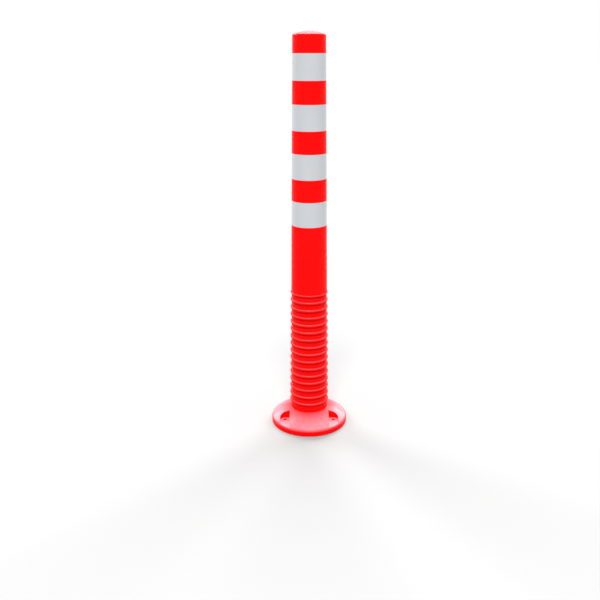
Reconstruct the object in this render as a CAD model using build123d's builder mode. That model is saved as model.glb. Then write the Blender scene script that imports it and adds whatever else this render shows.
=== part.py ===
from build123d import *
from math import cos, radians, sin, sqrt, tan
import os

# Flexible traffic delineator post, in millimetres.
# The origin is the centre of the underside of the base, on the road, and +Z is up.
# A wide bolted base carries a tapered hollow post through a flexible section of nested rings.
# Every ring has a ball-shaped dome on top and a skirt with a bead below. The skirt of the next
# ring up slides over the dome, so each pair tilts about a pivot on the axis, one pitch above the last.

# Post
POST_HEIGHT = 1000.0        # road to the highest point
TOP_RADIUS = 39.6           # outside, at the full height
DRAFT = 0.58                # degrees, the post widens downwards
WALL = 4.0                  # post wall
TOP_ROUND = 2.0             # rounded top edge of the post

# Cap
CAP_CROWN = 7.0             # height of the dome over the post's rim
CAP_SEAT_WIDTH = 1.6        # ledge that the cap's disc rests on
CAP_SEAT_DEPTH = 3.5
CAP_PLUG_LENGTH = 18.0
CAP_WALL = 3.0
CAP_CLEARANCE = 0.1

# Reflective bands
BAND_COUNT = 4
FIRST_BAND_DROP = 50.0      # top of the post to the first band
BAND_HEIGHT = 61.6
BAND_SPACE = 54.6           # body colour between two bands
BAND_RECESS = 0.7
BAND_THICKNESS = 0.5
BAND_CLEARANCE = 0.1        # glue line, and the gap at each edge

# Flexible section
RING_COUNT = 15             # loose rings between the base and the post
RING_PITCH = 20.0
MAX_TILT = 11.25            # degrees, at each pivot
GROOVE_DEPTH = 0.9          # domes, in from the post's taper
BEAD_PROUD = 1.8            # beads, out from the post's taper
LIP_HEIGHT = 8.0            # pivot to the lower edge of the skirt
LIP_ROUND = 2.0             # lower half of the bead
BEAD_SLOPE = 45.0           # degrees, steepest part of the bead's upper half
BALL_CLEARANCE = 0.4
COVER_MARGIN = 0.8          # dome that stays covered, and room above it, at full tilt

# Base
BASE_RADIUS = 100.0
RIM_HEIGHT = 15.8           # where the rim's side and the cone would meet
RIM_ROUND = 10.0
NECK_HEIGHT = 41.4          # where the cone and the neck would meet
NECK_FILLET = 2.5
NECK_LENGTH = 11.0          # straight neck up to the first pivot
CONE_BOW = 5.0              # rise of the cone's middle over a straight cone
BOW_ROUND = 80.0
NECK_WALL = 4.0
FOOT_CHAMFER = 1.0

# Anchor bolt seats
BOLT_COUNT = 3
BOLT_TO_RIM = 26.0          # bolt axis to the edge of the base
BOLT_HOLE = 9.0             # diameter, clears an M8 anchor
SEAT_WIDTH = 26.0
SEAT_SETBACK = 4.0          # front seats, bolt axis to the centre of the round end
SEAT_FLOOR = 16.6

# Underside of the base
SKIN = 7.0                  # under the cone
FOOT_RIM = 8.0              # solid ring at the edge
HUB_WALL = 7.0              # round the hollow neck
RIB_COUNT = 12
RIB_THICKNESS = 4.0
BOSS_WALL = 5.0             # round each bolt seat

tilt = radians(MAX_TILT)
bolt_radius = BASE_RADIUS - BOLT_TO_RIM
rim_z = POST_HEIGHT - CAP_CROWN


def post_radius(z):
    """Outer radius of the tapered post at a height."""
    return TOP_RADIUS + (POST_HEIGHT - z) * tan(radians(DRAFT))


def pivot_z(joint):
    """Height of a pivot. Joint 1 is on the base and the last one carries the post."""
    return NECK_HEIGHT + NECK_LENGTH + (joint - 1) * RING_PITCH


def ball_radius(joint):
    return post_radius(pivot_z(joint)) - GROOVE_DEPTH


def on_ball(joint, height, gap=0.0):
    """Point of a joint's ball, at a height over its pivot, as radius and z."""
    radius = ball_radius(joint) + gap
    return (sqrt(radius**2 - height**2), pivot_z(joint) + height)


def dome_top(joint):
    """Height of the dome over its pivot, so that a tilted skirt never bares its rim."""
    reach = on_ball(joint, LIP_HEIGHT, BALL_CLEARANCE)[0]
    return LIP_HEIGHT * cos(tilt) + reach * sin(tilt) + COVER_MARGIN


def socket_top(joint):
    """Height of the socket over its pivot, which the dome's rim reaches at full tilt."""
    reach = on_ball(joint, dome_top(joint))[0]
    return dome_top(joint) * cos(tilt) + reach * sin(tilt) + COVER_MARGIN


def socket_line(joint, top):
    """Inside of a skirt, from a height over the pivot down to its lip."""
    middle = (top + LIP_HEIGHT) / 2
    ThreePointArc(
        on_ball(joint, top, BALL_CLEARANCE),
        on_ball(joint, middle, BALL_CLEARANCE),
        on_ball(joint, LIP_HEIGHT, BALL_CLEARANCE),
    )


def bead_line(joint, wall_radius):
    """Lip and bead of a skirt, up to where the bead has run out into the wall above it."""
    crest_z = pivot_z(joint) + LIP_HEIGHT + LIP_ROUND
    crest = post_radius(crest_z) + BEAD_PROUD
    slope = radians(BEAD_SLOPE)
    bend = (crest - wall_radius) / (1 - cos(slope)) / 2
    halfway = (crest - bend * (1 - cos(slope)), crest_z + bend * sin(slope))
    end = (wall_radius, crest_z + 2 * bend * sin(slope))
    Line(on_ball(joint, LIP_HEIGHT, BALL_CLEARANCE), (crest - LIP_ROUND, crest_z - LIP_ROUND))
    CenterArc((crest - LIP_ROUND, crest_z), LIP_ROUND, 270, 90)
    CenterArc((crest - bend, crest_z), bend, 0, BEAD_SLOPE)
    TangentArc(halfway, end, tangent=(-sin(slope), cos(slope)))
    return end


def dome_line(joint):
    """Outside of a dome, from its widest height up to its rim."""
    top = dome_top(joint)
    ThreePointArc(on_ball(joint, 0), on_ball(joint, top / 2), on_ball(joint, top))
    return on_ball(joint, top)


def cone_middle():
    """Radius halfway up the base's cone, where its two slopes meet."""
    return (BASE_RADIUS + ball_radius(1)) / 2


def cone_z(radius, drop=0.0):
    """Height of the base's bowed cone at a radius, or of a surface below it."""
    half = BASE_RADIUS - cone_middle()
    straight = RIM_HEIGHT + (NECK_HEIGHT - RIM_HEIGHT) * (BASE_RADIUS - radius) / (2 * half)
    return straight + CONE_BOW * (1 - abs(radius - cone_middle()) / half) - drop


def bolt_places():
    """Bolt axes: one straight behind the post and the rest evenly round it."""
    angles = [radians(90 + 360 * i / BOLT_COUNT) for i in range(BOLT_COUNT)]
    return [(bolt_radius * cos(a), bolt_radius * sin(a)) for a in angles]


def seat_outline(margin):
    """Bolt seats in plan, each with a straight run out along Y to the rim.

    The rear seat has a round end at its bolt. A front one is set back towards the rim and is
    round only at its outer corner.
    """
    half = SEAT_WIDTH / 2 + margin
    for x, y in bolt_places():
        rear = y > 0
        run = Align.MIN if rear else Align.MAX
        inner = Align.MAX if x > 0 else Align.MIN
        with Locations((x, y if rear else y - SEAT_SETBACK)):
            Circle(half)
            Rectangle(2 * half, BASE_RADIUS, align=(Align.CENTER, run))
            if not rear:
                Rectangle(half, half, align=(inner, Align.MIN))


def band_top(number):
    return POST_HEIGHT - FIRST_BAND_DROP - number * (BAND_HEIGHT + BAND_SPACE)


def sleeve_section(low, high, depth_out, depth_in):
    """Thin section that follows the post's taper between two heights and two depths."""
    Polygon(
        (post_radius(low) - depth_in, low),
        (post_radius(low) - depth_out, low),
        (post_radius(high) - depth_out, high),
        (post_radius(high) - depth_in, high),
        align=None,
    )


def finish(piece, name):
    """Label a finished piece and write it as its own STEP file."""
    piece.part.label = name
    export_step(piece.part, f"parts/{name}.step")


os.makedirs("parts", exist_ok=True)
post_joint = RING_COUNT + 1

# Hollows of the base's underside, between its hub, its rim, its ribs and its bolt bosses.
neck_rim = on_ball(1, dome_top(1))
bore_radius = neck_rim[0] - NECK_WALL
hub_radius = bore_radius + HUB_WALL
foot_inner = BASE_RADIUS - FOOT_RIM
with BuildPart() as underside:
    with BuildSketch(Plane.XZ):
        Polygon(
            (hub_radius, 0),
            (foot_inner, 0),
            (foot_inner, cone_z(foot_inner, SKIN)),
            (cone_middle(), cone_z(cone_middle(), SKIN)),
            (hub_radius, cone_z(hub_radius, SKIN)),
            align=None,
        )
    revolve(axis=Axis.Z)
    with BuildSketch(Plane.XY):
        with PolarLocations(0, RIB_COUNT, start_angle=180 / RIB_COUNT):
            Rectangle(BASE_RADIUS, RIB_THICKNESS, align=(Align.MIN, Align.CENTER))
    extrude(amount=NECK_HEIGHT, mode=Mode.SUBTRACT)
    with BuildSketch(Plane.XY):
        seat_outline(BOSS_WALL)
    extrude(amount=NECK_HEIGHT, mode=Mode.SUBTRACT)

# Base: rim, cone and neck in one moulding, with the first dome on top.
with BuildPart() as base_flange:
    with BuildSketch(Plane.XZ):
        with BuildLine():
            neck = ball_radius(1)
            FilletPolyline(
                (BASE_RADIUS, FOOT_CHAMFER),
                (BASE_RADIUS, RIM_HEIGHT),
                (cone_middle(), cone_z(cone_middle())),
                (neck, NECK_HEIGHT),
                (neck, pivot_z(1)),
                radius=[RIM_ROUND, BOW_ROUND, NECK_FILLET],
            )
            dome_line(1)
            Polyline(
                neck_rim,
                (bore_radius, neck_rim[1]),
                (bore_radius, 0),
                (BASE_RADIUS - FOOT_CHAMFER, 0),
                (BASE_RADIUS, FOOT_CHAMFER),
            )
        make_face()
    revolve(axis=Axis.Z)
    add(underside.part, mode=Mode.SUBTRACT)
    with BuildSketch(Plane.XY.offset(SEAT_FLOOR)):
        seat_outline(0)
    extrude(amount=NECK_HEIGHT, mode=Mode.SUBTRACT)
    with BuildSketch(Plane.XY):
        with Locations(*bolt_places()):
            Circle(BOLT_HOLE / 2)
    extrude(amount=NECK_HEIGHT, mode=Mode.SUBTRACT)
finish(base_flange, "base_flange")

# Flexible rings, from the base upwards.
for joint in range(1, post_joint):
    with BuildPart() as flex_ring:
        with BuildSketch(Plane.XZ):
            with BuildLine():
                socket_line(joint, socket_top(joint))
                bead_end = bead_line(joint, ball_radius(joint + 1))
                Line(bead_end, on_ball(joint + 1, 0))
                rim = dome_line(joint + 1)
                bore = on_ball(joint, socket_top(joint), BALL_CLEARANCE)
                Polyline(rim, (bore[0], rim[1]), bore)
            make_face()
        revolve(axis=Axis.Z)
    finish(flex_ring, f"flex_ring_{joint:02d}")

# Post: a tapered tube with the last skirt at its foot, a seat for the cap and a recess for each band.
skirt_wall_z = pivot_z(post_joint) + LIP_HEIGHT + LIP_ROUND
socket_end = sqrt(
    (ball_radius(post_joint) + BALL_CLEARANCE) ** 2 - (post_radius(skirt_wall_z) - WALL) ** 2
)
seat_z = rim_z - CAP_SEAT_DEPTH
mouth = post_radius(rim_z) - WALL
cap_seat = mouth + CAP_SEAT_WIDTH
with BuildPart() as post_tube:
    with BuildSketch(Plane.XZ):
        with BuildLine():
            socket_line(post_joint, socket_end)
            bead_end = bead_line(post_joint, post_radius(skirt_wall_z))
            FilletPolyline(
                bead_end, (post_radius(rim_z), rim_z), (cap_seat, rim_z), radius=TOP_ROUND
            )
            Polyline(
                (cap_seat, rim_z),
                (cap_seat, seat_z),
                (mouth, seat_z),
                on_ball(post_joint, socket_end, BALL_CLEARANCE),
            )
        make_face()
    revolve(axis=Axis.Z)
    for number in range(BAND_COUNT):
        high = band_top(number)
        with BuildSketch(Plane.XZ):
            sleeve_section(high - BAND_HEIGHT, high, -WALL, BAND_RECESS)
        revolve(axis=Axis.Z, mode=Mode.SUBTRACT)
finish(post_tube, "post_tube")

# Cap: a domed disc with a hollow plug that closes the mouth of the post.
disc = cap_seat - CAP_CLEARANCE
plug = mouth - CAP_CLEARANCE
plug_end = seat_z - CAP_PLUG_LENGTH
with BuildPart() as top_cap:
    with BuildSketch(Plane.XZ):
        with BuildLine():
            ThreePointArc(
                (0, POST_HEIGHT),
                (disc / 2, rim_z + CAP_CROWN * 3 / 4),
                (disc, rim_z),
            )
            Polyline(
                (disc, rim_z),
                (disc, seat_z),
                (plug, seat_z),
                (plug, plug_end),
                (plug - CAP_WALL, plug_end),
                (plug - CAP_WALL, seat_z),
                (0, seat_z),
                (0, POST_HEIGHT),
            )
        make_face()
    revolve(axis=Axis.Z)
finish(top_cap, "top_cap")

# Reflective bands, numbered from the top.
for number in range(BAND_COUNT):
    high = band_top(number) - BAND_CLEARANCE
    low = band_top(number) - BAND_HEIGHT + BAND_CLEARANCE
    inside = BAND_RECESS - BAND_CLEARANCE
    with BuildPart() as reflective_band:
        with BuildSketch(Plane.XZ):
            sleeve_section(low, high, inside - BAND_THICKNESS, inside)
        revolve(axis=Axis.Z)
    finish(reflective_band, f"reflective_band_{number + 1}")
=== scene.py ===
import math

import bpy
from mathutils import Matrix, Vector


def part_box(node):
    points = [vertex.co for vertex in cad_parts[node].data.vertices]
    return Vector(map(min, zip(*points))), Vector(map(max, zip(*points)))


# Flexible delineator post: moulded red polyurethane with white reflective sheeting, on a pale
# studio floor. Distances are in metres, in the frame of the CAD part: the post stands on the
# origin and the camera is on the -Y side.
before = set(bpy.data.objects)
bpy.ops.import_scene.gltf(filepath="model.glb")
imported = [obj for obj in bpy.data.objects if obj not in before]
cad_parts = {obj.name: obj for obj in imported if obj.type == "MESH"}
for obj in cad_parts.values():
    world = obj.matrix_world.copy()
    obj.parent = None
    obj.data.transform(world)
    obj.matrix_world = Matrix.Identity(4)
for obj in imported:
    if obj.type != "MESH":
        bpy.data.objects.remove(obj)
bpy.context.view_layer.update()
scene = bpy.context.scene

# Lower edges of the skirts in the bending section: the lowest is the first ring's, and the highest
# is at the foot of the post's own tube.
first_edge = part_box("flex_ring_01")[0][2]
ring_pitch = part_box("flex_ring_02")[0][2] - first_edge
last_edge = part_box("post_tube")[0][2]

# The camera stands almost as high as the post and looks down at it.
CAMERA_BACK = 1.7530
CAMERA_HEIGHT = 0.9457
CAMERA_DOWN = math.radians(16.385)
LENS_MM = 43.05
SHIFT_X = -0.0153
SHIFT_Y = -0.0565

# Lights: strength, azimuth from +X, elevation and width in degrees.
WORLD_LEVEL = 1.0
SUNS = {
    "key": (3.3, 268, 62, 16),
    "behind": (2.9, 89, 46, 26),
    "back_left": (3.3, 134, 26, 26),
    "back_right": (3.3, 56, 26, 26),
}
FLOOR_SIZE = 60.0
FLOOR_ALBEDO = 0.288        # with these lights the open floor renders as white

# Red mouldings
RED_DEEP = (0.70, 0.0014, 0.0012, 1)
RED_PLAIN = (0.75, 0.0018, 0.0015, 1)
RED_BRIGHT = (0.80, 0.0026, 0.0021, 1)
RED_SCUFFED = (0.72, 0.05, 0.045, 1)
# dark red of the painted shade in the grooves under the skirts
RED_PAINTED_SHADE = (0.16, 0.0010, 0.0010, 1)
# pale cool colour of the painted sheen with dust, standing in for the sky's reflection on up-facing
# faces
SHEEN_AND_DUST_COLOUR = (0.60, 0.57, 0.68, 1)
PARTING_LINE = 0.0005       # half its width, down both sides of the post
SCUFF_TOP = 0.16            # the foot of the post is scuffed up to here
PAINTED_SHADE_REACH = 0.0055        # reach of the painted shade down from each skirt's lower edge, in the groove under it
PAINTED_SHADE_SHARE = 0.45                # share of the colour that painted shade covers there
SHEEN_AND_DUST = 0.16                 # share of the colour that painted sheen with dust covers on a level face
# share of painted sheen with dust on the base
FOOT_SHEEN_AND_DUST = 0.30
LEVEL = 0.92                # a face that looks up this much has all its painted sheen and dust
NECK_SHEEN_FADE_FROM = 0.026      # height on the base where its painted sheen and dust start to fade
NECK_SHEEN_FADE_TO = 0.042

# Reflective sheeting
FILM_DULL = (0.410, 0.424, 0.445, 1)
FILM_CLEAR = (0.427, 0.440, 0.458, 1)
FILM_WALLS = (0.51, 0.52, 0.53, 1)
FILM_DIRT = (0.28, 0.26, 0.23, 1)
FILM_SEAM = (0.20, 0.20, 0.20, 1)
CELL = 0.0032               # pitch of its sealed cells
SEAM = 0.0006               # half the width of its overlap, at the back


class Nodes:
    """A material's node tree, with short ways to add and link nodes."""

    def __init__(self, name):
        self.material = bpy.data.materials.new(name)
        self.material.use_nodes = True
        self.tree = self.material.node_tree
        self.shader = self.tree.nodes["Principled BSDF"]
        self.place = self.add("ShaderNodeTexCoord").outputs["Object"]
        split = self.add("ShaderNodeSeparateXYZ", Vector=self.place)
        self.x, self.y, self.z = split.outputs["X"], split.outputs["Y"], split.outputs["Z"]

    def add(self, kind, **inputs):
        """Add a node. An input is a value or a socket to link from."""
        node = self.tree.nodes.new(kind)
        for name, value in inputs.items():
            self.put(node.inputs[name.replace("_", " ")], value)
        return node

    def put(self, socket, value):
        if isinstance(value, bpy.types.NodeSocket):
            self.tree.links.new(value, socket)
        else:
            socket.default_value = value

    def math(self, operation, a, b=0.0, c=0.0):
        node = self.tree.nodes.new("ShaderNodeMath")
        node.operation = operation
        for socket, value in zip(node.inputs, (a, b, c)):
            self.put(socket, value)
        return node.outputs[0]

    def noise(self, scale, detail=3.0, roughness=0.5, place=None):
        node = self.add("ShaderNodeTexNoise", Vector=place or self.place, Scale=scale)
        self.put(node.inputs["Detail"], detail)
        self.put(node.inputs["Roughness"], roughness)
        return node.outputs["Fac"]

    def span(self, source, low, high, to_low=0.0, to_high=1.0):
        """Map a value from one span to another, clamped."""
        node = self.tree.nodes.new("ShaderNodeMapRange")
        for socket, value in zip(node.inputs, (source, low, high, to_low, to_high)):
            self.put(socket, value)
        return node.outputs["Result"]

    def blend(self, share, low, high):
        """Mix two colours by a share from 0 to 1."""
        node = self.tree.nodes.new("ShaderNodeMix")
        node.data_type = "RGBA"
        self.put(node.inputs["Factor"], share)
        self.put(node.inputs["A"], low)
        self.put(node.inputs["B"], high)
        return node.outputs["Result"]

    def stretched(self, x, y, z):
        """Object coordinates, scaled by axis."""
        node = self.tree.nodes.new("ShaderNodeMapping")
        self.put(node.inputs["Vector"], self.place)
        node.inputs["Scale"].default_value = (x, y, z)
        return node.outputs["Vector"]

    def bump(self, height, distance, strength=1.0, normal=None):
        node = self.add("ShaderNodeBump", Height=height, Distance=distance, Strength=strength)
        if normal is not None:
            self.put(node.inputs["Normal"], normal)
        return node.outputs["Normal"]


def red_plastic(name, gloss, overlay_share=SHEEN_AND_DUST, sheen_from=0.35, neck_sheen_fade=0.0):
    """Moulded red polyurethane: flow clouds, uneven gloss, grain, parting lines and light scuffs.

    Painted shade darkens the groove under each skirt of the bending section. A pale cool colour, painted
    sheen mixed with dusting, lies on the faces that look up when the post stands, and it fades towards
    the neck of the base.
    """
    n = Nodes(name)
    clouds = n.span(n.noise(9.0), 0.3, 0.7)
    streaks = n.span(n.noise(30.0, 4.0, place=n.stretched(1, 1, 0.08)), 0.35, 0.65)
    pigment = n.blend(clouds, RED_DEEP, RED_PLAIN)
    pigment = n.blend(n.math("MULTIPLY", streaks, 0.25), pigment, RED_BRIGHT)

    # Scuffs are short level scratches, thickest at the foot and gone above SCUFF_TOP.
    scratches = n.span(n.noise(90.0, 6.0, 0.7, place=n.stretched(1, 1, 7)), 0.62, 0.72)
    low_down = n.span(n.z, SCUFF_TOP, 0.0)
    scuffs = n.math("MULTIPLY", n.math("MULTIPLY", scratches, low_down), 0.2)
    colour = n.blend(scuffs, pigment, RED_SCUFFED)

    # Distance down from the nearest skirt above, within one pitch.
    below = n.math("MODULO", n.math("SUBTRACT", last_edge, n.z), ring_pitch)
    groove = n.span(below, 0.0, PAINTED_SHADE_REACH, 1.0, 0.0)
    groove = n.math("MULTIPLY", groove, n.math("LESS_THAN", n.z, last_edge))
    groove = n.math("MULTIPLY", groove, n.math("GREATER_THAN", n.z, first_edge - PAINTED_SHADE_REACH))
    # Painted shade: the groove under each skirt of the bending section is darkened.
    colour = n.blend(n.math("MULTIPLY", groove, PAINTED_SHADE_SHARE), colour, RED_PAINTED_SHADE)

    # Height of the face's normal, in the piece's own frame.
    facing = n.add("ShaderNodeSeparateXYZ", Vector=n.add("ShaderNodeTexCoord").outputs["Normal"])
    # Painted sheen with dust: up-facing faces take a pale cool colour, fading towards the neck of the
    # base.
    upward_sheen = n.span(facing.outputs["Z"], sheen_from, LEVEL)
    patchy_sheen = n.span(n.noise(24.0, 5.0, 0.6), 0.25, 0.75, 0.75 * overlay_share, 1.25 * overlay_share)
    sheen_fade = n.span(n.z, NECK_SHEEN_FADE_FROM, NECK_SHEEN_FADE_TO, 1.0, 1.0 - neck_sheen_fade)
    upward_sheen = n.math("MULTIPLY", upward_sheen, sheen_fade)
    colour = n.blend(n.math("MULTIPLY", upward_sheen, patchy_sheen), colour, SHEEN_AND_DUST_COLOUR)
    n.put(n.shader.inputs["Base Color"], colour)

    uneven = n.span(n.noise(38.0, 4.0), 0.3, 0.7, gloss - 0.03, gloss + 0.04)
    n.put(n.shader.inputs["Roughness"], n.math("MULTIPLY_ADD", scuffs, 0.5, uneven))

    line = n.span(n.math("ABSOLUTE", n.y), 0.0, PARTING_LINE, 1.0, 0.0)
    relief = n.bump(line, 0.0002)
    relief = n.bump(n.noise(1500.0, 2.0), 0.00002, normal=relief)
    relief = n.bump(scratches, 0.00004, strength=0.3, normal=relief)
    n.put(n.shader.inputs["Normal"], relief)
    n.shader.inputs["Specular IOR Level"].default_value = 0.04
    return n.material


def white_film(name):
    """Retroreflective sheeting: sealed honeycomb cells under a clear face, with an overlap seam."""
    n = Nodes(name)
    radius = n.math("SQRT", n.math("ADD", n.math("POWER", n.x, 2.0), n.math("POWER", n.y, 2.0)))
    around = n.math("MULTIPLY", n.math("ARCTAN2", n.y, n.x), radius)
    waves = []
    for turn in (0, 60, 120):
        a = math.radians(turn)
        along = n.math("MULTIPLY", around, math.cos(a) * 2 * math.pi / CELL)
        phase = n.math("MULTIPLY_ADD", n.z, math.sin(a) * 2 * math.pi / CELL, along)
        waves.append(n.math("COSINE", phase))
    comb = n.math("ADD", n.math("ADD", waves[0], waves[1]), waves[2])
    walls = n.span(comb, -1.1, -1.4)

    clouds = n.span(n.noise(16.0), 0.3, 0.7)
    face = n.blend(clouds, FILM_DULL, FILM_CLEAR)
    face = n.blend(n.math("MULTIPLY", walls, 0.5), face, FILM_WALLS)
    overlay_share = n.span(n.noise(160.0, 5.0, 0.65), 0.62, 0.75, 0.0, 0.12)
    face = n.blend(overlay_share, face, FILM_DIRT)
    edge = n.span(n.math("ABSOLUTE", n.x), SEAM, SEAM * 2, 1.0, 0.0)
    seam = n.math("MULTIPLY", edge, n.math("GREATER_THAN", n.y, 0.0))
    face = n.blend(n.math("MULTIPLY", seam, 0.6), face, FILM_SEAM)
    n.put(n.shader.inputs["Base Color"], face)
    n.put(n.shader.inputs["Roughness"], n.span(n.noise(55.0, 4.0), 0.3, 0.7, 0.30, 0.40))
    relief = n.bump(walls, 0.00005, strength=0.5)
    relief = n.bump(seam, 0.0002, normal=relief)
    n.put(n.shader.inputs["Normal"], relief)
    n.shader.inputs["Specular IOR Level"].default_value = 0.1
    return n.material


def dress(node, material):
    """Give a CAD node one material."""
    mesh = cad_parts[node].data
    mesh.materials.clear()
    mesh.materials.append(material)


def pale_floor():
    """Matt paper floor with a faint fibre."""
    n = Nodes("pale_floor")
    fibre = n.span(n.noise(400.0, 4.0), 0.3, 0.7)
    low, high = FLOOR_ALBEDO * 0.985, FLOOR_ALBEDO * 1.015
    n.put(n.shader.inputs["Base Color"], n.blend(fibre, (low, low, low, 1), (high, high, high, 1)))
    n.shader.inputs["Roughness"].default_value = 0.9
    n.shader.inputs["Specular IOR Level"].default_value = 0.0
    return n.material


def add_floor():
    half = FLOOR_SIZE / 2
    mesh = bpy.data.meshes.new("floor")
    corners = [(-half, -half, 0), (half, -half, 0), (half, half, 0), (-half, half, 0)]
    mesh.from_pydata(corners, [], [(0, 1, 2, 3)])
    mesh.materials.append(pale_floor())
    floor = bpy.data.objects.new("floor", mesh)
    scene.collection.objects.link(floor)


def add_sun(name, strength, azimuth, elevation, width):
    """A wide soft light, as strong everywhere."""
    lamp = bpy.data.lights.new(name, "SUN")
    lamp.energy = strength
    lamp.angle = math.radians(width)
    light = bpy.data.objects.new(name, lamp)
    a, e = math.radians(azimuth), math.radians(elevation)
    towards = Vector((math.cos(a) * math.cos(e), math.sin(a) * math.cos(e), math.sin(e)))
    light.rotation_euler = towards.to_track_quat("Z", "Y").to_euler()
    scene.collection.objects.link(light)


def add_world():
    world = bpy.data.worlds.new("studio")
    world.use_nodes = True
    background = world.node_tree.nodes["Background"]
    background.inputs["Color"].default_value = (1, 1, 1, 1)
    background.inputs["Strength"].default_value = WORLD_LEVEL
    scene.world = world


def add_camera():
    data = bpy.data.cameras.new("camera")
    data.lens = LENS_MM
    data.shift_x = SHIFT_X
    data.shift_y = SHIFT_Y
    camera = bpy.data.objects.new("camera", data)
    camera.location = (0, -CAMERA_BACK, CAMERA_HEIGHT)
    camera.rotation_euler = (math.pi / 2 - CAMERA_DOWN, 0, 0)
    scene.collection.objects.link(camera)
    scene.camera = camera


# Gloss is the plastic's mean roughness.
body_red = red_plastic("red_polyurethane", gloss=0.26)
cap_red = red_plastic("red_cap_plastic", gloss=0.45)
foot_red = red_plastic("red_polyurethane_foot", gloss=0.26, overlay_share=FOOT_SHEEN_AND_DUST, sheen_from=0.1, neck_sheen_fade=0.8)
film = white_film("white_reflective_sheeting")
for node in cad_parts:
    if node.startswith("reflective_band"):
        dress(node, film)
    elif node == "top_cap":
        dress(node, cap_red)
    elif node == "base_flange":
        dress(node, foot_red)
    else:
        dress(node, body_red)

scene.view_settings.view_transform = "Standard"
add_world()
add_floor()
for name, sun in SUNS.items():
    add_sun(name, *sun)
add_camera()
